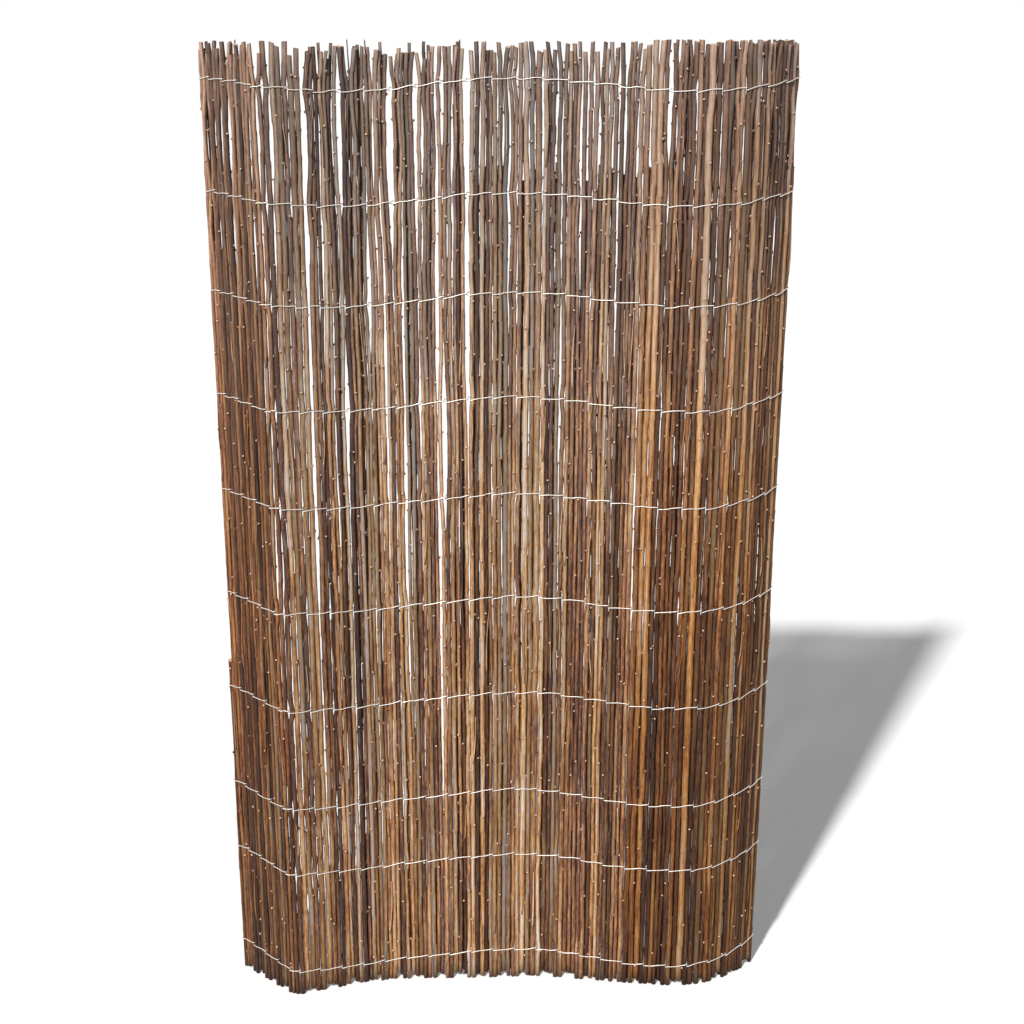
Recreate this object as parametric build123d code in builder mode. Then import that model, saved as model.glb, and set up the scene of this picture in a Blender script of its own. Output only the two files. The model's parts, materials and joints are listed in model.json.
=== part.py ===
from build123d import *

import os
from dataclasses import dataclass
from math import cos, pi, radians, sqrt, tan
from random import Random

os.makedirs("parts", exist_ok=True)

# A free-standing length of willow fence: upright willow rods, bound into a mat by rows of twisted wire.
# Millimetres, +z up from the ground, +x to the right along the mat and +y away from the viewer.
# The mat is bound in bundles. Each bundle is straight in plan, and the mat turns in the gaps between them.

# Driving dimensions
fence_height = 1700  # ground to the longest tips

# The front of the mat as it stands on the ground, seen from above. A narrow bundle stands across the left fold.
left_end = (-488, 36)
left_fold = ((-386, -57), (-367, -62))
bends = ((-292, -36), (-202, -13), (-60, -9), (71, -3), (192, -18), (292, -30), (372, -29), (428, -6))
right_end = (490, 49)
left_bundles = 4
right_bundles = 22

# Willow rods: the butts stand on the ground and the tips point up
thinnest_rod = 7.1  # across a bundle's mean rod at the butt
thickest_rod = 9.1
rod_variation = 0.2  # from the bundle's mean rod, as a share of it
rod_depth = 7.2  # front to back at the butt
tip_share = 0.93  # a rod's size at the full height, as a share of its butt
rod_room = 0.15  # least air between rods side by side
fills = {"left": 0.985, "fold": 0.985, "loose": 0.92, "middle": 0.97, "double": 0.985}  # of a bundle's width

# Back rods: a second, thinner layer behind the places where two front rods meet
back_rod_width = 6.4
thinnest_back_rod = 0.85  # as a share of back_rod_width
back_rod_depth = 6.0
layer_room = 0.05  # air between the two layers
backed = {"left": 0.9, "fold": 0, "loose": 0.5, "middle": 0.95, "double": 1}  # share of the places that have one

# Places along the mat, measured from its left end, where its make-up changes
loose_from = 200
loose_to = 480
double_from = 800

# Uneven ends
foot_unevenness = 14  # how far the inner rods of a bundle stop above the ground
tip_unevenness = 34
loose_tip_drop = 12  # how much lower the tips are where the mat is loose
short_back_drop = 190  # how far the middle's back rods stop below the tips
cut_rod_height = 650  # the short rod at the left end

# Binding wire
wire_size = 1.2
wire_room = 0.2  # air between a wire and the rod that it turns round
wire_swap = 4.0  # height between the two wires of a row where they change sides
lowest_row = 51
highest_row_drop = 68  # highest row below the tips
row_shifts = (0, 25, -19, -3, 3, 16, 9, 10, -3, 0)  # each row, from evenly spaced ones
row_wave_height = 10  # every row rises and dips along the mat
row_wave_length = 560
row_wave_crest = 560  # from the left end to a crest
wire_waver = 1.2

# What follows from them
wire_overhang = wire_size / 2 + wire_room
row_step = (fence_height - highest_row_drop - lowest_row) / (len(row_shifts) - 1)
row_heights = [lowest_row + row * row_step + shift for row, shift in enumerate(row_shifts)]


def taper(height):
    """A rod's size at a height, as a share of its size at the ground."""
    return 1 - (1 - tip_share) * height / fence_height


@dataclass
class Rod:
    """One willow rod, placed along its bundle's own width."""

    foot: float
    tip: float
    width: float
    bottom: float
    top: float
    behind: bool

    def middle(self, height):
        return self.foot + (self.tip - self.foot) * height / fence_height

    def half_width(self, height):
        return self.width * taper(height) / 2

    def front(self, height):
        return rod_depth * taper(height) + layer_room if self.behind else 0

    def depth(self, height):
        return (back_rod_depth if self.behind else rod_depth) * taper(height)

    def reaches(self, height):
        return self.bottom <= height - wire_size and height + wire_size <= self.top


def side_by_side(widths, half_width, chance):
    """Middles of rods laid in a row across a bundle, with the air between them shared out unevenly."""
    spare = 2 * half_width - sum(widths) - rod_room * (len(widths) - 1)
    shares = [0] + [chance.random() ** 3 for _ in widths[1:]]
    middles = []
    edge = -half_width
    for width, share in zip(widths, shares):
        edge += spare * share / sum(shares)
        middles.append(edge + width / 2)
        edge += width + rod_room
    return middles


def tip_height(chance):
    """Most rods come near the full height, and a few stop well short of it."""
    return fence_height - tip_unevenness * chance.random() ** 2


def front_rods(zone, half_width, chance):
    """The rods of a bundle's front layer. The outer two stand on the ground."""
    count = max(round(2 * half_width / chance.uniform(thinnest_rod, thickest_rod)), 2)
    raw = [1 + chance.uniform(-rod_variation, rod_variation) for _ in range(count)]
    fill = fills[zone] * 2 * half_width - rod_room * (count - 1)
    widths = [fill * share / sum(raw) for share in raw]
    feet = side_by_side(widths, half_width, chance)
    tips = side_by_side([width * tip_share for width in widths], half_width, chance)
    rods = []
    for foot, tip, width in zip(feet, tips, widths):
        outer = foot in (feet[0], feet[-1])
        bottom = 0 if outer else chance.uniform(0, foot_unevenness)
        top = tip_height(chance) - (loose_tip_drop if zone == "loose" else 0)
        rods.append(Rod(foot, tip, width, bottom, top, False))
    return rods


def back_rods(zone, front, chance):
    """Rods that lie behind the places where two front rods meet, no wider than either of those two."""
    drop = short_back_drop if zone == "middle" else 0
    rods = []
    for left, right in zip(front, front[1:]):
        if chance.random() < backed[zone]:
            widest = back_rod_width * chance.uniform(thinnest_back_rod, 1)
            width = min(widest, left.width, right.width)
            foot, tip = ((left.middle(height) + right.middle(height)) / 2 for height in (0, fence_height))
            rods.append(Rod(foot, tip, width, chance.uniform(0, foot_unevenness), tip_height(chance) - drop, True))
    return rods


class Bundle:
    """The rods between two gaps: a straight chord of the mat's line on the ground."""

    def __init__(self, number):
        self.left, self.right = gap_places[number : number + 2]
        self.along = (self.right - self.left).normalized()
        self.plane = Plane(origin=(self.left + self.right) / 2, x_dir=self.along, z_dir=(0, 0, 1))
        self.chance = Random(number)
        place = sum(gap_distances[number : number + 2]) / 2
        if abs(number - left_bundles) <= 1:
            self.zone = "fold"
        elif place > double_from:
            self.zone = "double"
        elif place > loose_to:
            self.zone = "middle"
        elif place > loose_from:
            self.zone = "loose"
        else:
            self.zone = "left"

    def fill(self, slopes):
        """Lay the rods in, with the room that the gap at each side takes. A slope says how the mat turns there."""
        self.slopes = slopes
        self.rooms = [side_room(slope) for slope in slopes]
        self.half_width = ((self.right - self.left).length - sum(self.rooms)) / 2
        self.plane = self.plane.move(Location(self.along * (self.rooms[0] - self.rooms[1]) / 2))
        front = front_rods(self.zone, self.half_width, self.chance)
        self.rods = front + back_rods(self.zone, front, self.chance)

    def gap_middles(self, depth):
        """The middles of the gaps to the left and right, which slant with the depth where the mat turns."""
        left, right = [self.half_width + room - depth * slope for room, slope in zip(self.rooms, self.slopes)]
        return -left, right

    def edges(self, height):
        """Where the front rods begin and end at a height."""
        reached = [rod for rod in self.rods if not rod.behind and rod.reaches(height)]
        starts = [rod.middle(height) - rod.half_width(height) for rod in reached]
        ends = [rod.middle(height) + rod.half_width(height) for rod in reached]
        return min(starts), max(ends)

    def thickness(self, height):
        """Front to back over all the rods at a height."""
        return max(rod.front(height) + rod.depth(height) for rod in self.rods if rod.reaches(height))


# The mat's line on the ground, with the places of the gaps between the bundles
with BuildLine():
    left_part = Line(left_end, left_fold[0])
    right_part = Spline(left_fold[1], *bends, right_end)
gap_places = [left_part @ (number / left_bundles) for number in range(left_bundles + 1)]
gap_places += [right_part @ (number / right_bundles) for number in range(right_bundles + 1)]
bundles = len(gap_places) - 1
gap_distances = [0]
for left, right in zip(gap_places, gap_places[1:]):
    gap_distances.append(gap_distances[-1] + (right - left).length)
mat = [Bundle(number) for number in range(bundles)]


def side_room(slope):
    """Room between the middle of a gap and the rods beside it. On the inside of a turn they lean towards it."""
    lean = max(slope, 0)
    front_layer = rod_depth / 2 * lean
    back_layer = (rod_depth + layer_room + back_rod_depth) * lean - thinnest_rod * (1 - rod_variation) / 3
    return wire_overhang * sqrt(1 + slope**2) + max(front_layer, back_layer)


# How much the middle of each gap slants with the depth: positive where the mat bulges to the front
slants = [0]
for before, after in zip(mat, mat[1:]):
    slants.append(tan(radians(before.along.get_signed_angle(after.along, Vector(0, 0, 1))) / 2))
slants.append(0)
for number, bundle in enumerate(mat):
    bundle.fill(slants[number : number + 2])
cut_rod = mat[0].rods[0]
cut_rod.top = cut_rod_height


def build_bundle(bundle):
    """Each rod is straight and tapered, and flat at the front and back, where the wires press on it.

    A front rod has six sides. A back rod, of which little shows, has four.
    """
    with BuildPart() as rods:
        for rod in bundle.rods:
            corners = []
            for height in (rod.bottom, rod.top):
                middle, half = rod.middle(height), rod.half_width(height)
                front = rod.front(height)
                back = front + rod.depth(height)
                flat_half = half if rod.behind else half / 2
                corners += [(middle + flat_half * side, flat, height) for side in (-1, 1) for flat in (front, back)]
                if not rod.behind:
                    corners += [(middle + half * side, (front + back) / 2, height) for side in (-1, 1)]
            ConvexPolyhedron([bundle.plane.from_local_coords(corner) for corner in corners])
    return rods.part


def wire_route(row, starts_in_front):
    """The corners that one wire of a row turns round, from the left end of the mat to the right."""
    chance = Random(row)
    levels = []
    for place in gap_distances:
        wave = row_wave_height * cos(2 * pi * (place - row_wave_crest) / row_wave_length)
        levels.append(row_heights[row] + wave + chance.uniform(-wire_waver, wire_waver))
    route = []
    for number, bundle in enumerate(mat):
        in_front = (number % 2 == 0) == starts_in_front
        rise = wire_swap / 2 if in_front else -wire_swap / 2
        first, last = levels[number] - rise, levels[number + 1] + rise
        behind = bundle.thickness(min(first, last) - wire_size) + wire_size / 2
        depth = -wire_size / 2 if in_front else behind
        start, end = bundle.gap_middles(depth)
        if number == 0:
            start = bundle.edges(first)[0] - wire_overhang
        if in_front and number == 0:
            route.append(bundle.plane.from_local_coords(Vector(start, behind, first)))
        route.append(bundle.plane.from_local_coords(Vector(start, depth, first)))
        route.append(bundle.plane.from_local_coords(Vector(end, depth, last)))
        if in_front and number == bundles - 1:
            route.append(bundle.plane.from_local_coords(Vector(end, behind, last)))
    return route


def wire_ring(corner, before, after):
    """The wire's square section where it turns, mitred between the run before and the run after."""
    forward = (before + after).normalized()
    out = forward.rotate(Axis.Z, 90) * (wire_size / 2 / forward.dot(after))
    up = Vector(0, 0, wire_size / 2)
    return [corner + out - up, corner - out - up, corner - out + up, corner + out + up]


def build_wire(route):
    """A square wire, mitred at each corner of its route so that its sides lie flat on the rods.

    It climbs or falls along each bundle, so its top and underside are folded in two over their diagonal.
    """
    runs = [(end - start).project_to_plane(Plane.XY).normalized() for start, end in zip(route, route[1:])]
    rings = [wire_ring(*turn) for turn in zip(route, runs[:1] + runs, runs + runs[-1:])]
    outlines = [rings[0], rings[-1]]
    for near, far in zip(rings, rings[1:]):
        under, inner, over, outer = [[near[i], near[i - 3], far[i - 3], far[i]] for i in range(4)]
        outlines += [inner, outer]
        for folded in (under, over):
            outlines += [folded[:3], [folded[0], *folded[2:]]]
    with BuildPart() as wire:
        add(Solid(Shell([Face(Wire.make_polygon(outline)) for outline in outlines])))
    return wire.part


for number, bundle in enumerate(mat, start=1):
    rods = build_bundle(bundle)
    rods.label = f"rod_bundle_{number:02}"
    export_step(rods, f"parts/{rods.label}.step")

for row in range(len(row_heights)):
    for side in ("front", "back"):
        wire = build_wire(wire_route(row, side == "front"))
        wire.label = f"binding_wire_{row + 1:02}_{side}"
        export_step(wire, f"parts/{wire.label}.step")
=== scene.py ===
import json
from itertools import combinations
from math import cos, pi, radians, sin, tau
from random import Random

import bmesh
import bpy
from mathutils import Matrix, Vector, noise


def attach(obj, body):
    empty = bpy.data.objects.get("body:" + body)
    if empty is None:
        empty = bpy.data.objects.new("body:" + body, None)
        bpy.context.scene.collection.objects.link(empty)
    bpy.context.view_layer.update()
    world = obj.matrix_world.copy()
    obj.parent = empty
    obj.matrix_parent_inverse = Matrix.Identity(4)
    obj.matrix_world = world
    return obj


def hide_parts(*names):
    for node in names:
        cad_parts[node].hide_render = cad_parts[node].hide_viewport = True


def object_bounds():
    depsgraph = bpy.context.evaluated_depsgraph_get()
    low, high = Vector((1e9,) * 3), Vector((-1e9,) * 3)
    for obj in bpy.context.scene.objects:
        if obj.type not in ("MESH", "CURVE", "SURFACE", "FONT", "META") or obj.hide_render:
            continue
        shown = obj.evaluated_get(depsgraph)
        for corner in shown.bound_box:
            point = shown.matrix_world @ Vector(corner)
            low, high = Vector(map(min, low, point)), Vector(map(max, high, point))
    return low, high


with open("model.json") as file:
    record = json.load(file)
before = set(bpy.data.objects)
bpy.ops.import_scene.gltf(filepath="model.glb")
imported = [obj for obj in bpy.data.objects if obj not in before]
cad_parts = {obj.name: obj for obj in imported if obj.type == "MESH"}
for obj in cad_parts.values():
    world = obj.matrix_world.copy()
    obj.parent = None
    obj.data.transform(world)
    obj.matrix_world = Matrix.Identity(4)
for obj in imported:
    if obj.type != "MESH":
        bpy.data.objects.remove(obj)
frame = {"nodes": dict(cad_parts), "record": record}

bl_info = {
    "name": "Willow Fence",
    "version": (1, 0, 0),
    "blender": (4, 5, 0),
    "location": "3D View > Sidebar > Willow Fence",
    "description": "Dresses a willow fence: barked rods, twisted binding wires and a plain stage",
    "category": "Object",
}

MILLIMETRE = 0.001
UP = Vector((0, 0, 1))
CAD_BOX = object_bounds()
BUNDLES = sorted(name for name in frame["nodes"] if name.startswith("rod_bundle"))
WIRES = sorted(name for name in frame["nodes"] if name.startswith("binding_wire"))
SLOT_OF = {part["node"]: part["material_slot"] for part in frame["record"]["subparts"]}
FENCE_HEIGHT = CAD_BOX[1][2]

# Where the mat's make-up changes along x: loose, then less so, then dense with a full second layer
LOOSE_FROM, LOOSE_TO, DOUBLE_FROM = -0.32, -0.03, 0.25
OPEN_FROM, OPEN_RAMP = 0.55, 0.65  # height where the mat starts to open, and over which it does
LOOSE_MAT, MIDDLE_MAT = (0.1, 0.75), (0.12, 0.3)  # looseness at the foot, and what is added at the top

# Open slits between two bundles: place along x, lowest and highest point, and width
SLITS = (
    (-0.424, 0.58, 0.7, 0.004), (-0.353, 0.77, 0.91, 0.005), (-0.257, 0.93, 1.16, 0.004),
    (-0.222, 1.22, 1.33, 0.004), (-0.122, 1.53, 1.69, 0.007), (-0.066, 1.1, 1.46, 0.007),
    (-0.04, 1.32, 1.47, 0.004), (0.256, 1.5, 1.72, 0.006))

# How the rods are laid out, in metres and as shares of a rod's width
LEVEL_STEP = 0.006  # between the heights at which the rods are placed
FULLEST = 1.12  # most that a rod is widened to close the air between it and the next
LEAST_FULL = 1.035  # the same where the mat is loose
WIRE_CLEARANCE = 0.004  # above and below the middle of a row, where its two wires cross
FREE_RAMP = 0.016  # beyond that clearance, until a rod is free to lean
CROSS_FROM, CROSS_RAMP = 0.012, 0.06  # from a row of wire, until a rod may pass over the next one
CROSS_HEIGHT, CROSS_FADE = 1.3, 0.15  # height above which rods cross, and over which that comes in
CROSS_DEPTH, CROSS_LEAN = 0.0065, 0.008  # how far crossing rods part in depth, and lean
SPLAY_FROM = 0.01  # above the highest row, where the tips start to lean apart
EDGE_SPLAY = 0.4  # share of the tips' lean that the edges of a bundle take
CLOSENESS = 0.97  # share of their half widths, added up, that two rods keep between their middles
SPREAD_ROUNDS = 14  # of pushing the rods of a bundle apart

# How rods and the places where bundles meet wander: waves for each metre of height, and share of the bend
LONG_WAVES, LONG_SHARE = 1.7, 0.9
SHORT_WAVES, SHORT_SHARE = 8.0, 0.12
MEETING_WAVES, MEETING_SHARE = 2.2, 0.45
BOW_WAVES = 4.0
SLIT_WAVES, SLIT_THRESHOLD = 3.6, 0.12  # a slit opens where its wave passes the threshold
SLIT_ENDS = 2.2  # how abruptly a named slit closes at its ends

# How the scene's rods end, from how far below the top the solids do
SHORT_ROD_TOP, SHORT_ROD_TRIM = 1.0, 0.02  # a rod that ends lower is the short one, and what it loses
BACK_TIP_DROP = 0.06  # a rod that ends further down is a short back rod, and stays as it is
EVEN_TIPS, UNEVEN_TIPS = 0.25, 0.6  # share of the drop that is kept, in the dense mat and elsewhere
TIP_MARGIN = 0.003  # below the top, outside the dense mat
THIN_TIP_FROM, THIN_TIP_RAMP = 0.14, 0.13  # below the tip, where a thin tip starts to taper, and over which
TALL_BACK_ROD, THIN_TIP_CHANCE = 1.6, 0.3  # height of the back rods that may have thin tips
BUTT_SLANT, TIP_SLANT = 9, 24  # degrees that a saw cut may slant
BACK_ROD_SHADE_TONE = 0.35  # share of the tones, from the darkest, that back rods have, which paints the shade they lie in behind the front rods

# Longest stretch of a rod without a ring of vertices, and the shortest
LONGEST_STRETCH, SHORTEST_STRETCH = 0.028, 0.0015
WIRE_RINGS = (-0.02, -0.01, -0.004, 0.004, 0.01, 0.02)  # more rings near a row, on outer rods

# A stub or a bud: length, radius at the skin, radius at the tip, and how deep it starts in the rod
STUB = (0.0036, 0.0021, 0.0017, 0.0002)
BUD = (0.005, 0.0013, 0.0003, 0.0004)
KNOB_SIDES = 6

# Rings of vertices round a bud: height from it, share of the swell, and how near the bud is
BUD_PROFILE = ((-0.009, 0, 0.0), (-0.002, 1, 0.8), (0.003, 0.5, 0.4), (0.011, -0.2, 0.0))

# Side shoots
SHOOT_SIDES, SHOOT_RINGS = 5, 9
SHOOT_LENGTHS, LEAST_SHOOT = (0.06, 0.15), 0.035
SHOOT_THICKNESS = (0.0011, 0.0017)
SHOOT_LEAN, SHOOT_BEND = 0.06, 0.0025
ROOM_ABOVE_ROW, ROOM_BELOW_ROW = 0.014, 0.012

# Sawn ends, as shares of the rod's radius
BARK_RIM, SUNKEN_FACE, SINK = 0.14, 0.55, 0.08

# Wires: most of a run that a turn takes, where a run wavers, and points for each turn of a tail
MOST_HUG, WAVER_PLACES, TAIL_STEPS = 0.42, (0.36, 0.64), 8


# Settings


def length(name, description, default):
    return bpy.props.FloatProperty(
        name=name, description=description, default=default, unit="LENGTH", precision=4)


def colour(name, description, default):
    return bpy.props.FloatVectorProperty(
        name=name, description=description, default=default, subtype="COLOR", size=3)


class RodSettings(bpy.types.PropertyGroup):
    sides: bpy.props.IntProperty(
        name="Sides", description="Sides of a front rod's round section", default=10, min=6, max=24)
    back_sides: bpy.props.IntProperty(
        name="Back sides", description="Sides of a back rod's round section", default=8, min=6, max=24)
    bend: length("Bend", "How far a rod wanders from a straight line, sideways", 0.0042)
    bow: length("Bow", "How far a rod bows out between two rows of wire", 0.0016)
    splay: bpy.props.FloatProperty(
        name="Splay", description="How far the tips lean apart for each metre above the highest wires",
        default=0.09, unit="NONE")
    parting: length("Parting", "Widest slit between two bundles in the loose part of the mat", 0.006)
    crossing: bpy.props.FloatProperty(
        name="Crossing", description="How much of its width a rod may pass over the next one near the top",
        default=0.35, subtype="FACTOR")
    kink: length("Kink", "Side step of a rod at a bud", 0.0007)
    shortest_shoot: length("Shortest shoot", "Least distance between two buds", 0.032)
    longest_shoot: length("Longest shoot", "Greatest distance between two buds", 0.085)
    swell: bpy.props.FloatProperty(
        name="Swell", description="How much thicker a rod is at a bud", default=0.07, subtype="FACTOR")
    stubs: bpy.props.FloatProperty(
        name="Stubs", description="Share of the buds where a side shoot was cut off",
        default=0.6, subtype="FACTOR")
    shoots: bpy.props.IntProperty(
        name="Side shoots", description="Thin side shoots that lie over the rods, in each bundle",
        default=5, min=0)
    seed: bpy.props.IntProperty(name="Seed", description="Changes every rod's bends and buds", default=4)


class BarkSettings(bpy.types.PropertyGroup):
    gold: colour("Gold", "Yellow-brown bark of the palest rods", (0.46, 0.25, 0.09))
    orange: colour("Orange", "Orange-brown bark", (0.36, 0.155, 0.05))
    chestnut: colour("Chestnut", "Red-brown bark", (0.17, 0.06, 0.025))
    umber: colour("Umber", "Darkest bark", (0.055, 0.024, 0.013))
    taupe: colour("Taupe", "Grey-brown bark of the upper ends", (0.29, 0.2, 0.155))
    bloom: colour("Bloom", "Pale film on weathered bark", (0.52, 0.37, 0.28))
    cut_wood: colour("Cut wood", "Sawn ends and cut side shoots", (0.78, 0.54, 0.4))


class WireSettings(bpy.types.PropertyGroup):
    radius: length("Radius", "Half the thickness of the wire", 0.0008)
    hug: length("Hug", "How far from a corner the wire starts to turn", 0.0036)
    waver: length("Waver", "How far a wire rises and dips between two gaps", 0.0016)
    tail: length("Tail", "Length of the twisted ends", 0.016)
    tail_turns: bpy.props.FloatProperty(
        name="Tail turns", description="Turns that the two wires make round each other in a tail", default=2.5)
    zinc: colour("Zinc", "Bright zinc coat", (0.86, 0.81, 0.75))
    dull_zinc: colour("Dull zinc", "Weathered zinc coat", (0.52, 0.48, 0.43))


class StageSettings(bpy.types.PropertyGroup):
    camera_place: bpy.props.FloatVectorProperty(
        name="Camera place", description="Where the camera stands", subtype="XYZ", size=3,
        default=(0, -2.55, 1.70))
    camera_tilt: bpy.props.FloatProperty(
        name="Camera tilt", description="How far the camera looks down", subtype="ANGLE", default=radians(17))
    lens: bpy.props.FloatProperty(
        name="Lens", description="Focal length on a 36 mm sensor", default=54.35, unit="CAMERA")
    shift: bpy.props.FloatProperty(
        name="Shift", description="Sideways shift of the lens, as a share of the picture", default=0.0138)
    sun_path: bpy.props.FloatVectorProperty(
        name="Sun path", description="Which way the key light travels", subtype="DIRECTION", size=3,
        default=(0.915, 1.83, -1.7))
    sun_strength: bpy.props.FloatProperty(name="Sun strength", description="Key light", default=4.0)
    sun_size: bpy.props.FloatProperty(
        name="Sun size", description="Angle that the key light fills, which softens the shadow",
        subtype="ANGLE", default=radians(3))
    sky_strength: bpy.props.FloatProperty(
        name="Sky strength", description="Even light from all round", default=0.2)
    floor_size: length("Floor size", "Side of the square floor", 60)


# Mesh helpers


def merged_copy(node_name):
    """A CAD node's mesh as a bmesh of its own, with its loose triangles joined."""
    bm = bmesh.new()
    bm.from_mesh(frame["nodes"][node_name].data)
    bmesh.ops.remove_doubles(bm, verts=bm.verts, dist=1e-6)
    return bm


def islands(verts, joined):
    """Groups of vertices that are linked by edges for which joined(edge) holds."""
    groups, seen = [], set()
    for start in verts:
        if start in seen:
            continue
        seen.add(start)
        group, queue = [], [start]
        while queue:
            vert = queue.pop()
            group.append(vert)
            for edge in vert.link_edges:
                other = edge.other_vert(vert)
                if other not in seen and joined(edge):
                    seen.add(other)
                    queue.append(other)
        groups.append(group)
    return groups


def middle_of(points):
    return sum(points, Vector()) / len(points)


def inside_box(point, room):
    """Whether a point is within the fence's CAD box with some room to spare."""
    return all(low + room < value < high - room for value, low, high in zip(point, *CAD_BOX))


def smooth_step(value):
    value = min(max(value, 0), 1)
    return value * value * (3 - 2 * value)


def finish_piece(name, mesh, node_name, materials):
    """Links a new piece that stands for a CAD node, gives it the materials that it is handed, and hides the
    node.
    """
    piece = bpy.data.objects.new(name, mesh)
    bpy.context.scene.collection.objects.link(piece)
    for made in materials:
        mesh.materials.append(made)
    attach(piece, "root")
    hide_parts(node_name)
    return piece


# Materials


class Tree:
    """Short names for building a material's nodes."""

    def __init__(self, name):
        self.material = bpy.data.materials.new(name)
        self.material.use_nodes = True
        self.nodes = self.material.node_tree.nodes
        self.links = self.material.node_tree.links
        self.shader = self.nodes["Principled BSDF"]
        self.place = self.add("ShaderNodeTexCoord").outputs["Object"]

    def add(self, kind, inputs=None, **settings):
        node = self.nodes.new(kind)
        for key, value in settings.items():
            setattr(node, key, value)
        for key, value in (inputs or {}).items():
            self.put(node.inputs[key], value)
        return node

    def put(self, socket, value):
        if isinstance(value, bpy.types.NodeSocket):
            self.links.new(value, socket)
        else:
            socket.default_value = value

    def stretched(self, scale):
        return self.add("ShaderNodeMapping", {"Vector": self.place, "Scale": scale}).outputs["Vector"]

    def noise(self, scale, seed=0.0, detail=3.0, roughness=0.55):
        made = self.add(
            "ShaderNodeTexNoise",
            {
                "Vector": self.stretched(scale), "W": seed, "Scale": 1.0, "Detail": detail,
                "Roughness": roughness},
            noise_dimensions="4D")
        return made.outputs["Fac"]

    def curve(self, value, low, high, from_low=0.0, from_high=1.0):
        made = self.add("ShaderNodeMapRange", {
            "Value": value, "From Min": from_low, "From Max": from_high, "To Min": low, "To Max": high})
        return made.outputs["Result"]

    def maths(self, operation, first, second=0.0, clamp=False):
        made = self.add("ShaderNodeMath", operation=operation, use_clamp=clamp)
        self.put(made.inputs[0], first)
        self.put(made.inputs[1], second)
        return made.outputs["Value"]

    def mix(self, share, first, second, blend="MIX"):
        made = self.add("ShaderNodeMix", data_type="RGBA", blend_type=blend, clamp_factor=True)
        self.put(made.inputs["Factor"], share)
        self.put(made.inputs["A"], first if isinstance(first, bpy.types.NodeSocket) else (*first, 1.0))
        self.put(made.inputs["B"], second if isinstance(second, bpy.types.NodeSocket) else (*second, 1.0))
        return made.outputs["Result"]

    def ramp(self, value, stops):
        made = self.add("ShaderNodeValToRGB", {"Fac": value})
        points = made.color_ramp.elements
        while len(points) < len(stops):
            points.new(0.5)
        for point, (place, colour) in zip(points, stops):
            point.position = place
            point.color = (*colour, 1.0)
        return made.outputs["Color"]

    def bump(self, height, strength, distance):
        made = self.add("ShaderNodeBump", {"Height": height, "Strength": strength, "Distance": distance})
        self.put(self.shader.inputs["Normal"], made.outputs["Normal"])


# How the bark's tone changes up the fence, for each slot: shares of its height, and a tint for each. The tints
# are partly the bark's own change of colour and partly painted shade: the red-brown and umber tints darken the
# lower rods.
# The ramp holds them at half strength, since it can't hold more than 1, and the tone makes up for it.
TINT_SCALE = 0.5
SLOT_TINTS_AND_SHADE = {
    "willow_red_brown": (
        (0.1, (0.62, 0.6, 0.57)), (0.35, (0.74, 0.68, 0.64)),
        (0.62, (0.86, 0.81, 0.76)), (0.95, (1.25, 1.28, 1.34))),
    "willow_ochre": (
        (0.1, (1.2, 1.3, 1.47)), (0.35, (1.09, 1.19, 1.38)),
        (0.65, (1.28, 1.48, 1.75)), (0.96, (1.05, 1.22, 1.45))),
    "willow_umber": (
        (0.1, (0.64, 0.57, 0.45)), (0.35, (0.74, 0.67, 0.57)),
        (0.65, (1.2, 1.16, 1.06)), (0.95, (1.14, 1.2, 1.3))),
}
HUE_SHIFTS = {"willow_red_brown": -0.1, "willow_ochre": 0.0, "willow_umber": -0.06}


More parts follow.
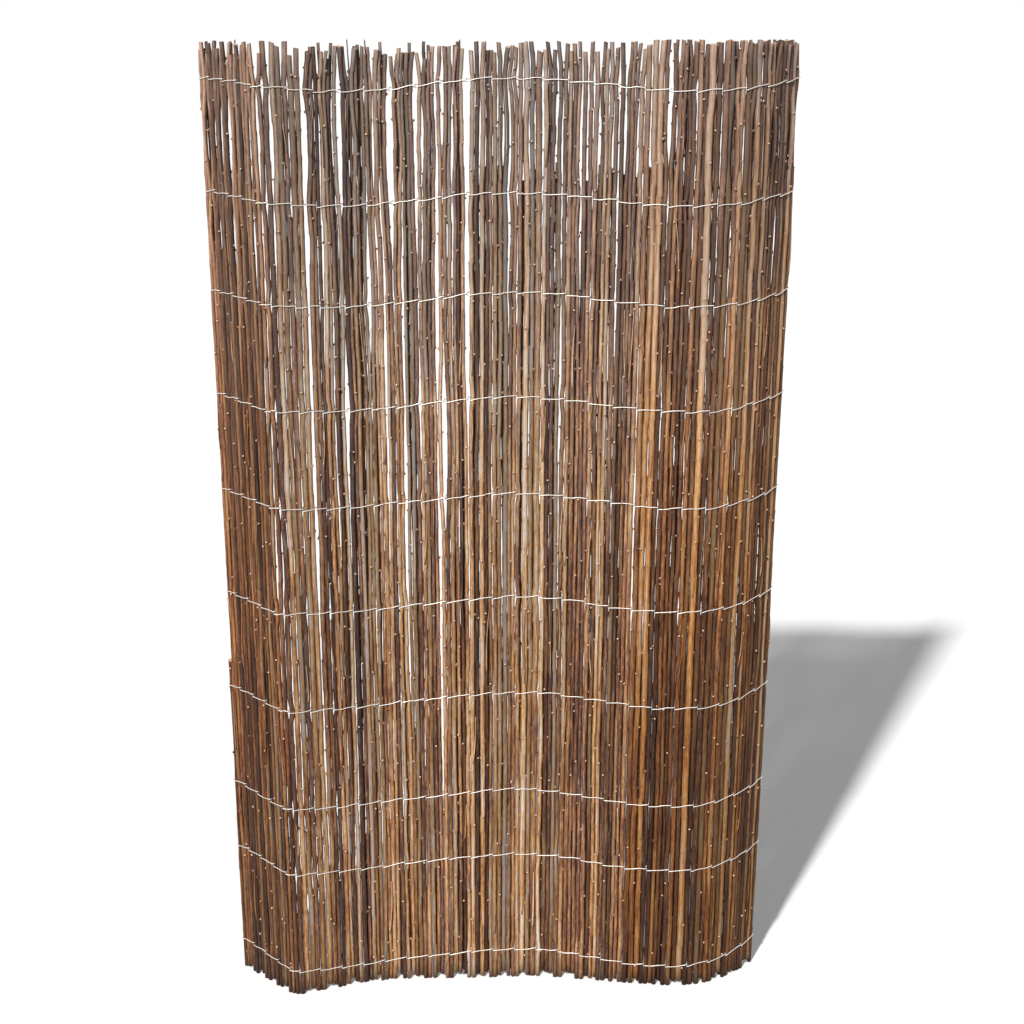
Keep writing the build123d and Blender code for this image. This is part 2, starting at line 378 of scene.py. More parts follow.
def bark_material(slot, hue_shift, tints_and_shade):
    """Unpeeled willow bark. Each rod's hue, depth of colour and streaks come from its "rod" attribute."""
    bark = bpy.context.scene.willow_bark
    tree = Tree(slot)
    rod = tree.add("ShaderNodeAttribute", attribute_name="rod", attribute_type="GEOMETRY")
    traits = tree.add("ShaderNodeSeparateColor", {"Color": rod.outputs["Color"]})
    hue, depth, seed = (traits.outputs[name] for name in ("Red", "Green", "Blue"))
    bud = rod.outputs["Alpha"]
    # The side attribute is how far the skin faces sideways along the mat: the mask of the painted shade
    # between rods
    side = tree.add("ShaderNodeAttribute", attribute_name="side", attribute_type="GEOMETRY").outputs["Fac"]
    own = tree.maths("MULTIPLY", seed, 40.0)
    height = tree.add("ShaderNodeSeparateXYZ", {"Vector": tree.place}).outputs["Z"]

    # Hue: the rod's own, with long patches and short streaks that wander through the same colours
    patches = tree.noise((11, 11, 3.2), own, 3.0)
    streaks = tree.noise((330, 330, 13), own, 5.0, 0.6)
    flecks = tree.noise((560, 560, 70), own, 4.0, 0.65)
    turn = tree.curve(hue, 0.16 + hue_shift, 0.84 + hue_shift)
    for pattern, reach in ((patches, 0.2), (streaks, 0.24), (flecks, 0.2)):
        turn = tree.maths("ADD", turn, tree.curve(pattern, -reach, reach, 0.36, 0.64))
    lower = tree.ramp(turn, (
        (0.04, bark.umber), (0.3, bark.chestnut), (0.56, bark.orange), (0.76, bark.gold), (1.0, bark.bloom)))

    # The upper ends are greyer, more on some rods than on others
    grey = tree.mix(tree.curve(streaks, 0.0, 1.0, 0.25, 0.75), tuple(Vector(bark.taupe) * 0.55), bark.taupe)
    upper = tree.mix(tree.curve(hue, 0.45, 0.95), lower, grey)
    greying = tree.maths(
        "ADD", tree.curve(height, 0.0, 0.8, 0.75, FENCE_HEIGHT), tree.curve(patches, -0.55, 0.65))
    colour = tree.mix(greying, lower, upper)

    # Pale film in streaks, small pale pores and dark flecks round the buds
    film = tree.noise((420, 420, 24), own, 4.0, 0.6)
    colour = tree.mix(tree.curve(film, 0.0, 0.7, 0.56, 0.8), colour, bark.bloom)
    pores = tree.add("ShaderNodeTexVoronoi", {
        "Vector": tree.stretched((300, 300, 130)), "W": own, "Scale": 1.0}, voronoi_dimensions="4D")
    pore = tree.curve(pores.outputs["Distance"], 1.0, 0.0, 0.08, 0.24)
    colour = tree.mix(tree.maths("MULTIPLY", pore, 0.6), colour, bark.bloom)
    marks = tree.maths("MULTIPLY", bud, tree.curve(flecks, 0.0, 0.5, 0.45, 0.6))
    colour = tree.mix(marks, colour, bark.umber)

    # Painted shade darkens the sides of the rods where they touch, in the crevices between them; the butts are
    # darker towards the foot; each rod is lighter or darker than the next
    painted_shade_between_rods = tree.maths("POWER", side, 2.6)
    colour = tree.mix(tree.maths("MULTIPLY", painted_shade_between_rods, 0.86), colour, tuple(Vector(bark.umber) * 0.45))
    # Darker over the lowest few centimetres of the rods
    darker_at_foot = tree.curve(height, 0.5, 0.0, 0.0, 0.06)
    colour = tree.mix(darker_at_foot, colour, tuple(Vector(bark.umber) * 0.9))
    # The tone holds each rod's own shade of bark, and on back rods the painted shade behind the front rods
    tone = tree.curve(depth, 0.5 / TINT_SCALE, 1.5 / TINT_SCALE)
    shades = tree.add("ShaderNodeCombineColor", {"Red": tone, "Green": tone, "Blue": tone}).outputs["Color"]
    colour = tree.mix(1.0, colour, shades, "MULTIPLY")
    # Multiplies in the tint for each height, part of which is painted shade on the lower red-brown and umber
    # rods
    share = tree.maths("DIVIDE", height, FENCE_HEIGHT)
    tint_and_shade = tree.ramp(share, [(place, tuple(Vector(tint) * TINT_SCALE)) for place, tint in tints_and_shade])
    colour = tree.mix(1.0, colour, tint_and_shade, "MULTIPLY")
    tree.put(tree.shader.inputs["Base Color"], colour)

    tree.put(tree.shader.inputs["Roughness"], tree.curve(flecks, 0.42, 0.7))
    tree.put(tree.shader.inputs["Specular IOR Level"], 0.22)
    relief = tree.maths("ADD", tree.maths("MULTIPLY", streaks, 0.7), tree.maths("MULTIPLY", flecks, 0.6))
    tree.bump(tree.maths("ADD", relief, tree.maths("MULTIPLY", pore, 0.35)), 0.8, 0.0008)
    return tree.material


def cut_wood_material():
    """Sawn willow: pale wood that has dried and dirtied in the weather."""
    bark = bpy.context.scene.willow_bark
    tree = Tree("cut_willow")
    stain = tree.noise((330, 330, 330), 0.0, 4.0)
    dried = tuple(Vector(bark.cut_wood) * 0.55)
    colour = tree.mix(tree.curve(stain, 0.0, 1.0, 0.35, 0.75), bark.cut_wood, dried)
    fibres = tree.noise((1500, 1500, 300), 2.0, 3.0)
    colour = tree.mix(tree.curve(fibres, 0.0, 0.5, 0.45, 0.8), colour, bark.orange)
    tree.put(tree.shader.inputs["Base Color"], colour)
    tree.put(tree.shader.inputs["Roughness"], tree.curve(stain, 0.7, 0.9))
    tree.bump(fibres, 0.5, 0.0004)
    return tree.material


def zinc_material():
    """Galvanised wire: bright where it was drawn, dulled in patches by the weather."""
    wire = bpy.context.scene.willow_wire
    tree = Tree("galvanised_wire")
    patches = tree.noise((35, 35, 90), 0.0, 3.0)
    spangle = tree.noise((900, 900, 900), 3.0, 2.0)
    dulled = tree.maths(
        "ADD", tree.curve(patches, 0.0, 0.75, 0.42, 0.75), tree.curve(spangle, -0.15, 0.15), True)
    tree.put(tree.shader.inputs["Base Color"], tree.mix(dulled, wire.zinc, wire.dull_zinc))
    tree.put(tree.shader.inputs["Metallic"], 0.5)
    tree.put(tree.shader.inputs["Roughness"], tree.curve(dulled, 0.38, 0.62))
    tree.bump(spangle, 0.25, 0.0001)
    return tree.material


# Rods


class Rod:
    """One rod of a bundle node, measured along the bundle and towards its back."""

    def __init__(self, verts, frame_of_bundle):
        origin, along, back = frame_of_bundle
        height = [vert.co.z for vert in verts]
        self.bottom, self.top = min(height), max(height)
        self.ends = []
        for level in (self.bottom, self.top):
            ring = [vert.co - origin for vert in verts if abs(vert.co.z - level) < MILLIMETRE]
            across = [point.dot(along) for point in ring]
            deep = [point.dot(back) for point in ring]
            self.ends.append((
                (min(across) + max(across)) / 2, (min(deep) + max(deep)) / 2,
                (max(across) - min(across)) / 2, (max(deep) - min(deep)) / 2))
        self.behind = self.ends[0][1] > 3 * MILLIMETRE
        self.tip = self.tip_height(origin.x)
        self.thin_tip = 1.0
        self.outer = False

    def tip_height(self, place):
        """Where the rod ends. The tips are most even in the thick mat at the right."""
        drop = FENCE_HEIGHT - self.top
        if self.top < SHORT_ROD_TOP:
            return self.top - SHORT_ROD_TRIM
        if drop > BACK_TIP_DROP:
            return self.top
        if place > DOUBLE_FROM:
            return FENCE_HEIGHT - drop * EVEN_TIPS
        return FENCE_HEIGHT - TIP_MARGIN - drop * UNEVEN_TIPS

    def at(self, height):
        """Place across and deep, half width and half depth at a height on the straight rod."""
        share = (height - self.bottom) / (self.top - self.bottom)
        return tuple(foot + (tip - foot) * share for foot, tip in zip(*self.ends))


def bundle_frame(verts):
    """Middle of a bundle on the ground, and its directions along the mat and towards the back."""
    ground = [vert.co for vert in verts if vert.co.z < MILLIMETRE / 100]
    left, right = max(combinations(ground, 2), key=lambda pair: (pair[0] - pair[1]).length)
    if left.x > right.x:
        left, right = right, left
    along = (right - left).normalized()
    return (left + right) / 2, along, Vector((-along.y, along.x, 0))


def read_bundle(node_name):
    bm = merged_copy(node_name)
    axes = bundle_frame(bm.verts)
    rods = [Rod(group, axes) for group in islands(bm.verts, lambda edge: True)]
    bm.free()
    front = sorted((rod for rod in rods if not rod.behind), key=lambda rod: rod.ends[0][0])
    front[0].outer = front[-1].outer = True
    return axes, rods


def gaps_between(bundles):
    """Half of the air at the ground between each bundle and the next, and none at the ends of the mat."""
    edges = []
    for (origin, along, _), rods in bundles:
        front = [rod.ends[0] for rod in rods if not rod.behind]
        edges.append([
            origin + along * min(end[0] - end[2] for end in front),
            origin + along * max(end[0] + end[2] for end in front)])
    return [0] + [(after[0] - before[1]).length / 2 for before, after in zip(edges, edges[1:])] + [0]


def wander(seed, height, waves):
    """A smooth number between about -1 and 1 that changes along a rod."""
    return noise.noise(Vector((seed * 17.3, height * waves, seed * 3.1))) * 1.6


def looseness(place, height):
    """How open the mat is at a place along x and a height, from 0 to 1."""
    if LOOSE_FROM < place < LOOSE_TO:
        foot, added = LOOSE_MAT
    elif LOOSE_TO <= place < DOUBLE_FROM:
        foot, added = MIDDLE_MAT
    else:
        return 0
    return foot + added * smooth_step((height - OPEN_FROM) / OPEN_RAMP)


def slit_width(place, half_bundle, height):
    """How far one of the slits opens at a height, if it lies within half a bundle of this gap."""
    width = 0
    for across, low, high, widest in SLITS:
        if abs(across - place) < half_bundle:
            middle, half = (low + high) / 2, (high - low) / 2
            width = max(width, widest * smooth_step((1 - abs(height - middle) / half) * SLIT_ENDS))
    return width


def meeting(number, place, half_bundle, height, settings):
    """Shift of the place where two bundles meet, which they share, and half the slit between them."""
    shift = settings.bend * MEETING_SHARE * wander(number * 7.7 + 1.3, height, MEETING_WAVES)
    opening = max(wander(number * 5.1 + 60, height, SLIT_WAVES) - SLIT_THRESHOLD, 0)
    slit = opening * settings.parting * looseness(place, height)
    return shift, max(slit, slit_width(place, half_bundle, height) / 2)


def clear_of_rows(level, rows, start, ramp):
    """0 near a row of wire, rising to 1 where a height is clear of it."""
    return smooth_step((min(abs(level - row) for row in rows) - start) / ramp)


def edge_moves(number, axes, half_bundle, gaps, level, free, settings):
    """How far the two edges of a bundle move at a height, to meet the next bundles or leave a slit."""
    origin, along, _ = axes
    moves = []
    for way, gap, meets in ((-1, gaps[0], number), (1, gaps[1], number + 1)):
        gap_place = origin.x + along.x * way * (half_bundle + gap)
        shift, slit = meeting(meets, gap_place, half_bundle, level, settings)
        moves.append(way * (gap * free - slit) + shift * free if gap else 0)
    return moves


def spread_out(across, half_widths, overlap, lowest, highest):
    """Pushes rods apart until they have room beside each other, between the two edges of the bundle."""
    for _ in range(SPREAD_ROUNDS):
        for place in range(len(across) - 1):
            reach = (half_widths[place] + half_widths[place + 1]) * (CLOSENESS - overlap)
            excess = reach - (across[place + 1] - across[place])
            if excess > 0:
                across[place] -= excess / 2
                across[place + 1] += excess / 2
        for place, half_width in enumerate(half_widths):
            across[place] = min(max(across[place], lowest + half_width), highest - half_width)


def smoothed(line):
    """The line with each place drawn towards its two neighbours, and its ends as they were."""
    return [line[0]] + [
        tuple((a + 2 * b + c) / 4 for a, b, c in zip(*three))
        for three in zip(line, line[1:], line[2:])] + [line[-1]]


def bent_lines(number, axes, rods, rows, gaps, settings, chance):
    """Place across, place deep and widening of every rod at evenly spaced heights.

    Neighbours stay clear of each other and of the wires. Between two rows of wire, the outer rods lean out and
    meet those of the next bundle.
    """
    origin = axes[0]
    levels = [LEVEL_STEP * count for count in range(int(FENCE_HEIGHT / LEVEL_STEP) + 2)]
    highest_row = max(rows)
    lines = {}
    for behind in (False, True):
        layer = sorted((rod for rod in rods if rod.behind == behind), key=lambda rod: rod.ends[0][0])
        if not layer:
            continue
        seeds = [chance.uniform(0, 100) for _ in layer]
        leans = [chance.uniform(-1, 1) for _ in layer]
        placed = [[] for _ in layer]
        for level in levels:
            free = clear_of_rows(level, rows, WIRE_CLEARANCE, FREE_RAMP)
            above = max(level - highest_row - SPLAY_FROM, 0)
            over = clear_of_rows(level, rows, CROSS_FROM, CROSS_RAMP)
            over *= smooth_step((level - CROSS_HEIGHT) / CROSS_FADE) * settings.crossing
            spots = [rod.at(level) for rod in layer]
            ends = min(spot[0] - spot[2] for spot in spots), max(spot[0] + spot[2] for spot in spots)
            half_bundle = (ends[1] - ends[0]) / 2
            moves = edge_moves(number, axes, half_bundle, gaps, level, free, settings)
            lowest, highest = ends[0] + moves[0], ends[1] + moves[1]
            if origin.x < DOUBLE_FROM:
                lowest -= above * settings.splay * EDGE_SPLAY
                highest += above * settings.splay * EDGE_SPLAY
            wide = max(highest - moves[1] - lowest + moves[0], MILLIMETRE)
            fullest = FULLEST - (FULLEST - LEAST_FULL) * min(looseness(origin.x, level) * 2, 1)
            filled = 1 if behind else (highest - lowest) / sum(2 * spot[2] for spot in spots)
            filled = min(filled, fullest)
            spots = [(spot[0], spot[1], spot[2] * filled, spot[3]) for spot in spots]
            across = []
            for spot, seed, lean in zip(spots, seeds, leans):
                share = (spot[0] - lowest + moves[0]) / wide
                wandered = LONG_SHARE * wander(seed, level, LONG_WAVES)
                wandered += SHORT_SHARE * wander(seed, level, SHORT_WAVES)
                across.append(
                    spot[0] + moves[0] * (1 - share) + moves[1] * share
                    + settings.bend * wandered + lean * above * settings.splay + lean * over * CROSS_LEAN)
            if not behind:
                across[0] = lowest + spots[0][2]
                across[-1] = highest - spots[-1][2]
            spread_out(across, [spot[2] for spot in spots], over, lowest, highest)
            if not behind:
                across[0] = lowest + spots[0][2]
                across[-1] = highest - spots[-1][2]
            for place, (spot, seed) in enumerate(zip(spots, seeds)):
                deep = spot[1] + settings.bow * free * wander(seed + 50, level, BOW_WAVES)
                if not behind:
                    deep += (place % 2 * 2 - 1) * over * CROSS_DEPTH
                placed[place].append((across[place], deep, filled))
        for rod, line in zip(layer, placed):
            lines[rod] = smoothed(line)
    return lines


def along_line(line, height):
    """Place across and deep on a bent rod at any height, and how much wider it is than its straight one."""
    number = min(int(height / LEVEL_STEP), len(line) - 2)
    share = height / LEVEL_STEP - number
    return tuple(a + (b - a) * share for a, b in zip(line[number], line[number + 1]))


def bud_heights(rod, settings, chance):
    """Heights of a rod's buds. The shoots between them get shorter towards the tip."""
    heights = []
    height = rod.bottom + chance.uniform(0.02, settings.longest_shoot)
    while height < rod.tip - 0.012:
        heights.append(height)
        shortening = 1 - 0.35 * height / FENCE_HEIGHT
        height += chance.uniform(settings.shortest_shoot, settings.longest_shoot) * shortening
    return heights


def ring_plan(rod, buds, rows, swell):
    """Heights of a rod's rings, with its thickness there as a share of the taper, and how near a bud is."""
    rings = [(rod.bottom, 1.0, 0.0)]
    for bud in buds:
        rings += [(bud + away, 1.0 + swell * share, nearness) for away, share, nearness in BUD_PROFILE]
    if rod.outer:
        rings += [(row + away, 1.0, 0.0) for row in rows for away in WIRE_RINGS]
    rings = [ring for ring in rings if rod.bottom < ring[0] < rod.tip - 0.002] + rings[:1]
    rings.append((rod.tip, 1.0 - swell * 0.3, 0.0))
    rings.sort()
    kept = [rings[0]]
    for ring in rings[1:]:
        gap = ring[0] - kept[-1][0]
        if gap < SHORTEST_STRETCH:
            continue
        for part in range(1, int(gap / LONGEST_STRETCH) + 1):
            share = part / (int(gap / LONGEST_STRETCH) + 1)
            before = kept[-1]
            kept.append(tuple(a + (b - a) * share for a, b in zip(before, ring)))
        kept.append(ring)
    return kept


def add_knob(bm, layers, traits, spot, facing, length, radius, tip_radius, material):
    """A stub of a cut side shoot, or a bud, standing on the rod's skin."""
    turn = UP.rotation_difference(facing).to_matrix().to_4x4()
    made = bmesh.ops.create_cone(
        bm, cap_ends=True, segments=KNOB_SIDES, radius1=radius, radius2=tip_radius, depth=length,
        matrix=Matrix.Translation(spot + facing * length * 0.35) @ turn)
    for vert in made["verts"]:
        vert[layers[0]] = traits
        # Knobs take little of the painted shade between rods
        vert[layers[1]] = 0.15
        for face in vert.link_faces:
            if len(face.verts) == KNOB_SIDES and face.normal.dot(facing) > 0.5:
                face.material_index = material


def upright_tube(sides, rings):
    """A closed tube of rings round the z axis, as a bmesh, and its rings from the lowest to the highest."""
    bm = bmesh.new()
    # The side layer holds the mask of the painted shade between rods
    layers = bm.verts.layers.float_color.new("rod"), bm.verts.layers.float.new("side")
    bmesh.ops.create_cone(bm, cap_ends=True, segments=sides, radius1=1, radius2=1, depth=2)
    upright = [edge for edge in bm.edges if abs(edge.verts[0].co.z - edge.verts[1].co.z) > 1]
    bmesh.ops.subdivide_edges(bm, edges=upright, cuts=rings - 2, use_grid_fill=True)
    stacked = sorted(bm.verts, key=lambda vert: vert.co.z)
    return bm, layers, [stacked[first : first + sides] for first in range(0, len(stacked), sides)]


def pour(part, whole):
    """Adds a finished bmesh to the whole piece."""
    mesh = bpy.data.meshes.new("part")
    part.to_mesh(mesh)
    part.free()
    whole.from_mesh(mesh)
    bpy.data.meshes.remove(mesh)


def saw_ends(bm, sides):
    """Gives both ends of a rod a rim of bark and a slightly sunken face of cut wood."""
    for cap in [face for face in bm.faces if len(face.verts) == sides]:
        radius = (cap.verts[0].co - cap.calc_center_median()).length
        bmesh.ops.inset_individual(bm, faces=[cap], thickness=radius * BARK_RIM, depth=0)
        cap.material_index = 1
        bmesh.ops.inset_individual(bm, faces=[cap], thickness=radius * SUNKEN_FACE, depth=-radius * SINK)


def build_rod(rod, axes, rows, line, settings, chance):
    """A round, tapered rod with buds, cut stubs and sawn ends."""
    origin, along, back = axes
    sides = settings.back_sides if rod.behind else settings.sides
    buds = bud_heights(rod, settings, chance)
    rings = ring_plan(rod, buds, rows, settings.swell)
    bm, layers, stacked = upright_tube(sides, len(rings))
    hue = chance.random()
    # Back rods keep only the darker tones: painted shade, for the shade they lie in behind the front rods
    depth = chance.random() * (BACK_ROD_SHADE_TONE if rod.behind else 1)
    seed = chance.random()
    basis = Matrix((along, back, UP)).transposed()
    bud_steps = [chance.uniform(-1, 1) * settings.kink for _ in range(len(buds) + 1)]
    oval = chance.uniform(0.94, 1.0)
    for number, (height, thickness, nearness) in enumerate(rings):
        ring = stacked[number]
        across, deep, widened = along_line(line, height)
        across += bud_steps[sum(bud < height for bud in buds)]
        _, _, half_width, half_depth = rod.at(height)
        half_width *= widened
        thickness *= 1 - (1 - rod.thin_tip) * smooth_step((height - rod.tip + THIN_TIP_FROM) / THIN_TIP_RAMP)
        slant = Matrix.Identity(4)
        if number in (0, len(rings) - 1):
            axis = Vector((chance.uniform(-1, 1), chance.uniform(-1, 1), 0)).normalized()
            steepest = BUTT_SLANT if number == 0 else TIP_SLANT
            slant = Matrix.Rotation(radians(chance.uniform(0, steepest)), 4, axis)
        place = Matrix.Translation(origin + along * across + back * deep + UP * height)
        size = Matrix.Diagonal((half_width * thickness, half_depth * thickness * oval, half_width, 1))
        flat = Matrix.Translation((0, 0, -ring[0].co.z))
        # How far each vertex faces sideways along the mat, kept as the mask of the painted shade between rods
        turns = [abs(vert.co.x) for vert in ring]
        bmesh.ops.transform(bm, matrix=place @ basis.to_4x4() @ size @ slant @ flat, verts=ring)
        for vert, turned in zip(ring, turns):
            vert[layers[0]] = (hue, depth, seed, nearness)
            vert[layers[1]] = turned
    highest = max(vert.co.z for vert in stacked[-1])
    if highest > FENCE_HEIGHT:
        bmesh.ops.translate(bm, verts=stacked[-1], vec=(0, 0, FENCE_HEIGHT - highest))
    bm.normal_update()
    saw_ends(bm, sides)
    for face in bm.faces:
        face.smooth = len(face.verts) == 4 and face.material_index == 0
    for vert in bm.verts:
        vert.co = [min(max(value, low), high) for value, low, high in zip(vert.co, *CAD_BOX)]
    add_buds(bm, layers, (hue, depth, seed, 0.1), rod, axes, buds, line, settings, chance)
    return bm


def add_buds(bm, layers, traits, rod, axes, buds, line, settings, chance):
    """A bud or a stub at each of a rod's bud heights, each two fifths of the way round from the last."""
    origin, along, back = axes
    turned = chance.uniform(0, tau)
    for bud in buds:
        turned += radians(144) + chance.uniform(-0.3, 0.3)
        cut_off = chance.random() < settings.stubs
        rise = chance.uniform(0.5, 1.4) if cut_off else 3.2
        out = along * cos(turned) + back * sin(turned)
        across, deep, widened = along_line(line, bud)
        _, _, half_width, half_depth = rod.at(bud)
        half_width *= widened
        skin = origin + along * (across + cos(turned) * half_width) + back * (deep + sin(turned) * half_depth)
        facing = (out + UP * rise).normalized()
        length, radius, tip, sunk = STUB if cut_off else BUD
        spot = skin + UP * bud + out * -sunk
        if inside_box(spot + facing * length, radius):
            add_knob(bm, layers, traits, spot, facing, length, radius, tip, 1 if cut_off else 0)


def add_shoots(bm, axes, rods, rows, lines, settings, chance):
    """Thin side shoots that leave a front rod between two rows of wire and lie over its neighbours."""
    origin, along, back = axes
    front = [rod for rod in rods if not rod.behind]
    spans = list(zip(rows, rows[1:] + [FENCE_HEIGHT + 0.01]))
    for _ in range(settings.shoots):
        low, high = chance.choice(spans)
        rod = chance.choice([rod for rod in front if rod.tip > low + 0.06] or front)
        start = low + chance.uniform(ROOM_ABOVE_ROW, max((high - low) * 0.45, 0.02))
        length = min(chance.uniform(*SHOOT_LENGTHS), high - ROOM_BELOW_ROW - start)
        if length < LEAST_SHOOT or start + length > rod.tip - 0.002:
            continue
        thickness = chance.uniform(*SHOOT_THICKNESS)
        lean = chance.uniform(-1, 1) * SHOOT_LEAN
        bend = chance.uniform(-1, 1) * SHOOT_BEND
        hue, depth, seed = chance.uniform(0.45, 0.9), chance.uniform(0.4, 1), chance.random()
        part, layers, stacked = upright_tube(SHOOT_SIDES, SHOOT_RINGS)
        for number, ring in enumerate(stacked):
            share = number / (SHOOT_RINGS - 1)
            height = start + length * share
            across, deep, _ = along_line(lines[rod], height)
            half_depth = rod.at(height)[3]
            across += lean * length * share + bend * sin(pi * share)
            radius = thickness * (1 - 0.6 * share)
            out = deep - half_depth - radius * 0.8 - 0.0006 * sin(pi * share)
            out += 0.0012 * (1 - min(share * 4, 1))
            flat = Matrix.Translation((0, 0, -ring[0].co.z))
            size = Matrix.Diagonal((radius, radius, radius, 1))
            place = Matrix.Translation(origin + along * across + back * out + UP * height)
            bmesh.ops.transform(part, matrix=place @ size @ flat, verts=ring)
            for vert in ring:
                vert[layers[0]] = (hue, depth, seed, 0.0)
                # Shoots take little of the painted shade between rods
                vert[layers[1]] = 0.1
        if not all(inside_box(vert.co, 0) for vert in part.verts):
            part.free()
            continue
        part.normal_update()
        for face in part.faces:
            face.smooth = len(face.verts) == 4
        pour(part, bm)


class WILLOW_OT_rods(bpy.types.Operator):
    """Dress every bundle with round, barked rods that bend a little between the wires"""

    bl_idname = "willow.rods"
    bl_label = "Willow rods"

    def execute(self, context):
        settings = context.scene.willow_rods
        cut_wood = cut_wood_material()
        barks = {slot: bark_material(slot, HUE_SHIFTS[slot], tints_and_shade) for slot, tints_and_shade in SLOT_TINTS_AND_SHADE.items()}
        corners = [corner for name in WIRES for corner in wire_corners(name)]
        bundles = [read_bundle(name) for name in BUNDLES]
        gaps = gaps_between(bundles)
        for number, (name, (axes, rods)) in enumerate(zip(BUNDLES, bundles)):
            chance = Random(settings.seed * 1000 + number)
            rows = row_heights_at(axes[0], corners)
            lines = bent_lines(number, axes, rods, rows, gaps[number : number + 2], settings, chance)
            whole = bmesh.new()
            whole.verts.layers.float_color.new("rod")
            whole.verts.layers.float.new("side")
            for rod in rods:
                if rod.behind and rod.top > TALL_BACK_ROD and chance.random() < THIN_TIP_CHANCE:
                    rod.thin_tip = chance.uniform(0.3, 0.6)
                    rod.tip = FENCE_HEIGHT
            for rod in rods:
                pour(build_rod(rod, axes, rows, lines[rod], settings, chance), whole)
            add_shoots(whole, axes, rods, rows, lines, settings, chance)
            mesh = bpy.data.meshes.new(f"willow_{name}")
            whole.to_mesh(mesh)
            whole.free()
            if not mesh.polygons:
                raise RuntimeError(f"{name} came out empty")
            finish_piece(f"willow_{name}", mesh, name, (barks[SLOT_OF[name]], cut_wood))
        return {"FINISHED"}


# Wires


def wire_corners(node_name):
    """The corners that a wire turns round, read from its square sections, from the left to the right."""
    bm = merged_copy(node_name)
    rings = islands(bm.verts, lambda edge: edge.calc_length() < 3 * MILLIMETRE)
    ring_of = {vert: number for number, ring in enumerate(rings) for vert in ring}
    next_to = [
        {ring_of[edge.other_vert(vert)] for vert in ring for edge in vert.link_edges} - {number}
        for number, ring in enumerate(rings)]
    ends = [number for number, others in enumerate(next_to) if len(others) == 1]
    middles = [middle_of([vert.co for vert in ring]) for ring in rings]
    bm.free()
    if len(ends) != 2:
        raise RuntimeError(f"{node_name} is not one plain run of wire")
    here = min(ends, key=lambda number: middles[number].x)
    order = [here]
    while len(order) < len(rings):
        here = next(number for number in next_to[here] if number not in order[-2:])
        order.append(here)
    return [middles[number] for number in order]


def row_heights_at(place, corners):
    """Heights of the wire rows near a place in the mat."""
    near = sorted(corner.z for corner in corners if (corner.xy - place.xy).length < 0.03)
    rows = []
    for height in near:
        if not rows or height - rows[-1][-1] > 0.05:
            rows.append([])
        rows[-1].append(height)
    return [sum(row) / len(row) for row in rows]


def tail_points(end, inward, back, settings, phase):
    """One wire's way round the other in the twisted tail at an end of a row, from its free end inwards."""
    heading = (inward + back * 0.45 + UP * -0.12).normalized()
    side = heading.cross(UP).normalized()
    over = side.cross(heading)
    points = []
    steps = int(settings.tail_turns * TAIL_STEPS)
    for number in range(steps, -1, -1):
        share = number / steps
        angle = phase + share * settings.tail_turns * tau
        twist = (side * cos(angle) + over * sin(angle)) * settings.radius * 1.05
        points.append(end + heading * settings.tail * (share + 0.25) + twist)
    return points


def wire_points(corners, ends, settings, phase, chance):
    """Control points of a wire that hugs the rods at each corner, with a twisted tail at both ends."""
    (left_end, left_in, left_back), (right_end, right_in, right_back) = ends
    points = tail_points(left_end, left_in, left_back, settings, phase)
    points.append(corners[0])
    for before, corner, after in zip(corners, corners[1:], corners[2:]):
        for other in (before, after):
            away = other - corner
            hug = min(settings.hug, away.length * MOST_HUG)
            points.append(corner + away.normalized() * hug)
            if other is before:
                points.append(corner)
        if after is not corners[-1]:
            for share in WAVER_PLACES:
                points.append(corner.lerp(after, share) + UP * chance.uniform(-1, 1) * settings.waver)
    points.append(corners[-1])
    points += reversed(tail_points(right_end, right_in, right_back, settings, phase))
    return points


def build_wire(name, points, radius):
    """A round wire along the points, as a closed mesh."""
    curve = bpy.data.curves.new(name, "CURVE")
    curve.dimensions = "3D"
    curve.bevel_depth = radius
    curve.bevel_resolution = 2
    curve.resolution_u = 2
    curve.use_fill_caps = True
    spline = curve.splines.new("NURBS")
    spline.points.add(len(points) - 1)
    for point, place in zip(spline.points, points):
        point.co = (*place, 1)
    spline.order_u = 3
    spline.use_endpoint_u = True
    holder = bpy.data.objects.new(name, curve)
    mesh = bpy.data.meshes.new_from_object(holder)
    bpy.data.objects.remove(holder)
    bpy.data.curves.remove(curve)
    mesh.name = name
    return mesh


class WILLOW_OT_wires(bpy.types.Operator):
    """Bind the rods with ten rows of two round wires, which change places in every gap between two bundles"""

    bl_idname = "willow.wires"
    bl_label = "Binding wires"

    def execute(self, context):
        settings = context.scene.willow_wire
        zinc = zinc_material()
        first, last = bundle_frame_of(BUNDLES[0]), bundle_frame_of(BUNDLES[-1])
        chance = Random(len(WIRES))
        for front in (name for name in WIRES if name.endswith("front")):
            pair = (front, front.replace("front", "back"))
            routes = [wire_corners(name) for name in pair]
            starts = middle_of([route[0] for route in routes])
            stops = middle_of([route[-1] for route in routes])
            ends = ((starts, first[1], first[2]), (stops, -last[1], last[2]))
            for name, route, phase in zip(pair, routes, (0, pi)):
                points = wire_points(route, ends, settings, phase, chance)
                mesh = build_wire(f"zinc_{name}", points, settings.radius)
                finish_piece(f"zinc_{name}", mesh, name, (zinc,))
        return {"FINISHED"}


def bundle_frame_of(node_name):
    bm = merged_copy(node_name)
    axes = bundle_frame(bm.verts)
    bm.free()
    return tuple(axis.copy() for axis in axes)


# Stage


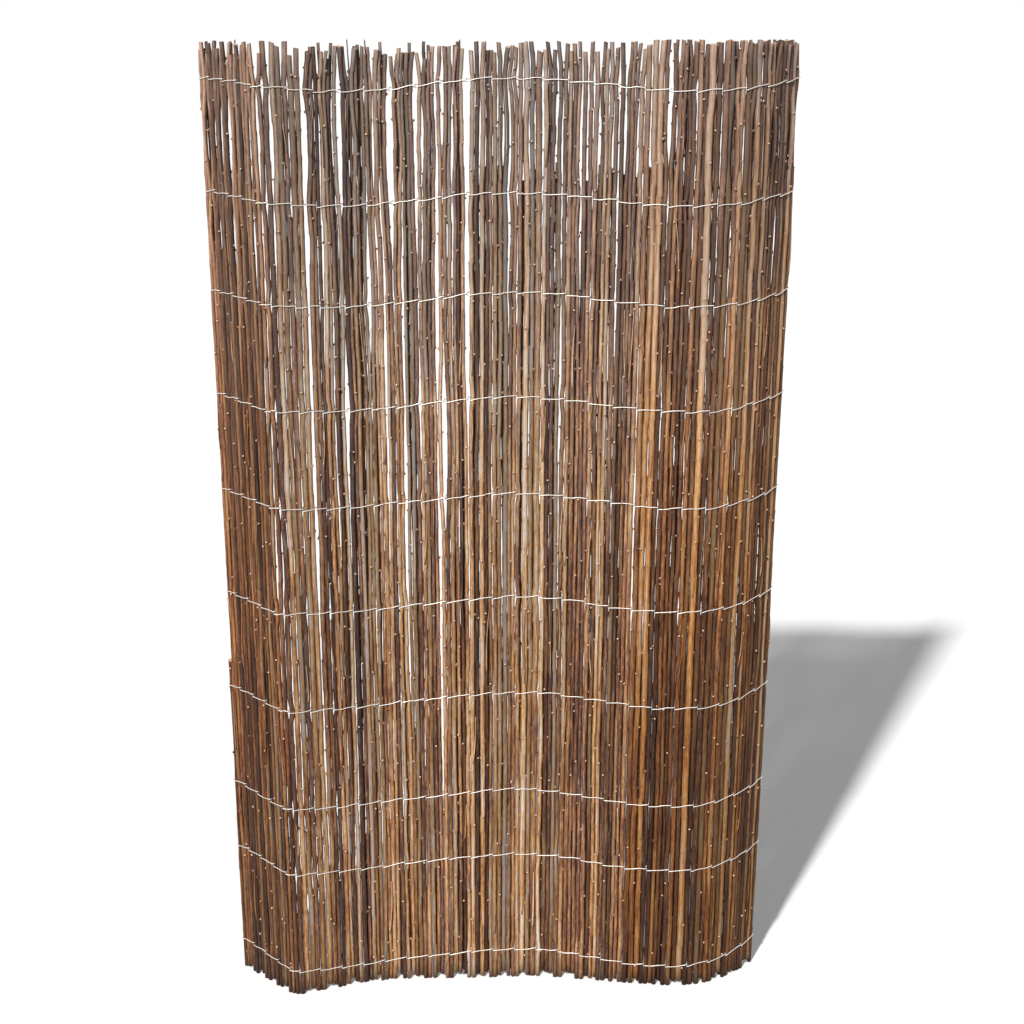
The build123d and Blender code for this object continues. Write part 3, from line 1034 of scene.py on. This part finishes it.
class WILLOW_OT_stage(bpy.types.Operator):
    """Set up the pale floor, the white background, the soft key light and the camera"""

    bl_idname = "willow.stage"
    bl_label = "Stage"

    def execute(self, context):
        settings = context.scene.willow_stage
        scene = context.scene
        scene.view_settings.view_transform = "Standard"

        lens = bpy.data.cameras.new("photograph_view")
        lens.lens = settings.lens
        lens.sensor_width = 36
        lens.shift_x = settings.shift
        camera = bpy.data.objects.new("photograph_view", lens)
        camera.location = settings.camera_place
        camera.rotation_euler = (pi / 2 - settings.camera_tilt, 0, 0)
        scene.collection.objects.link(camera)
        scene.camera = camera

        key = bpy.data.lights.new("key", "SUN")
        key.energy = settings.sun_strength
        key.angle = settings.sun_size
        lamp = bpy.data.objects.new("key", key)
        lamp.rotation_euler = Vector(settings.sun_path).to_track_quat("-Z", "Y").to_euler()
        scene.collection.objects.link(lamp)

        world = bpy.data.worlds.new("white_room")
        scene.world = world
        world.use_nodes = True
        tree = world.node_tree
        seen = self.seen_directly(tree)
        sky = tree.nodes["Background"]
        sky.inputs["Color"].default_value = (1, 1, 1, 1)
        strength = tree.nodes.new("ShaderNodeMapRange")
        tree.links.new(seen, strength.inputs["Value"])
        strength.inputs["To Min"].default_value = settings.sky_strength
        strength.inputs["To Max"].default_value = 1.0
        tree.links.new(strength.outputs["Result"], sky.inputs["Strength"])

        bm = bmesh.new()
        bmesh.ops.create_grid(bm, x_segments=1, y_segments=1, size=settings.floor_size / 2)
        mesh = bpy.data.meshes.new("floor")
        bm.to_mesh(mesh)
        bm.free()
        floor = bpy.data.objects.new("floor", mesh)
        scene.collection.objects.link(floor)
        paint = Tree("floor")
        seen = self.seen_directly(paint.material.node_tree)
        paint.put(paint.shader.inputs["Base Color"], paint.mix(seen, (0.38, 0.38, 0.38), (0.92, 0.92, 0.92)))
        paint.put(paint.shader.inputs["Emission Color"], (1.0, 1.0, 1.0, 1.0))
        paint.put(paint.shader.inputs["Emission Strength"], paint.maths("MULTIPLY", seen, 0.12))
        paint.put(paint.shader.inputs["Roughness"], 1.0)
        paint.put(paint.shader.inputs["Specular IOR Level"], 0.0)
        mesh.materials.append(paint.material)
        return {"FINISHED"}

    @staticmethod
    def seen_directly(tree):
        """1 where the camera, a reflection or a refraction looks, and 0 where only light is gathered."""
        path = tree.nodes.new("ShaderNodeLightPath")
        total = path.outputs["Is Camera Ray"]
        for name in ("Is Glossy Ray", "Is Transmission Ray"):
            plus = tree.nodes.new("ShaderNodeMath")
            plus.operation = "ADD"
            plus.use_clamp = True
            tree.links.new(total, plus.inputs[0])
            tree.links.new(path.outputs[name], plus.inputs[1])
            total = plus.outputs["Value"]
        return total


# Add-on


class WILLOW_PT_panel(bpy.types.Panel):
    bl_idname = "WILLOW_PT_panel"
    bl_label = "Willow Fence"
    bl_space_type = "VIEW_3D"
    bl_region_type = "UI"
    bl_category = "Willow Fence"

    def draw(self, context):
        parts = (
            ("willow.rods", (context.scene.willow_rods, context.scene.willow_bark)),
            ("willow.wires", (context.scene.willow_wire,)),
            ("willow.stage", (context.scene.willow_stage,)))
        for operator, groups in parts:
            box = self.layout.box()
            box.operator(operator)
            for group in groups:
                for name in group.__annotations__:
                    box.prop(group, name)


CLASSES = (
    RodSettings, BarkSettings, WireSettings, StageSettings,
    WILLOW_OT_rods, WILLOW_OT_wires, WILLOW_OT_stage, WILLOW_PT_panel)
SETTINGS = {
    "willow_rods": RodSettings, "willow_bark": BarkSettings,
    "willow_wire": WireSettings, "willow_stage": StageSettings}


def register():
    for made in CLASSES:
        bpy.utils.register_class(made)
    for name, group in SETTINGS.items():
        setattr(bpy.types.Scene, name, bpy.props.PointerProperty(type=group))


def unregister():
    for name in SETTINGS:
        delattr(bpy.types.Scene, name)
    for made in reversed(CLASSES):
        bpy.utils.unregister_class(made)


def main():
    register()
    bpy.ops.willow.stage()
    bpy.ops.willow.rods()
    bpy.ops.willow.wires()


if __name__ == "__main__":
    main()
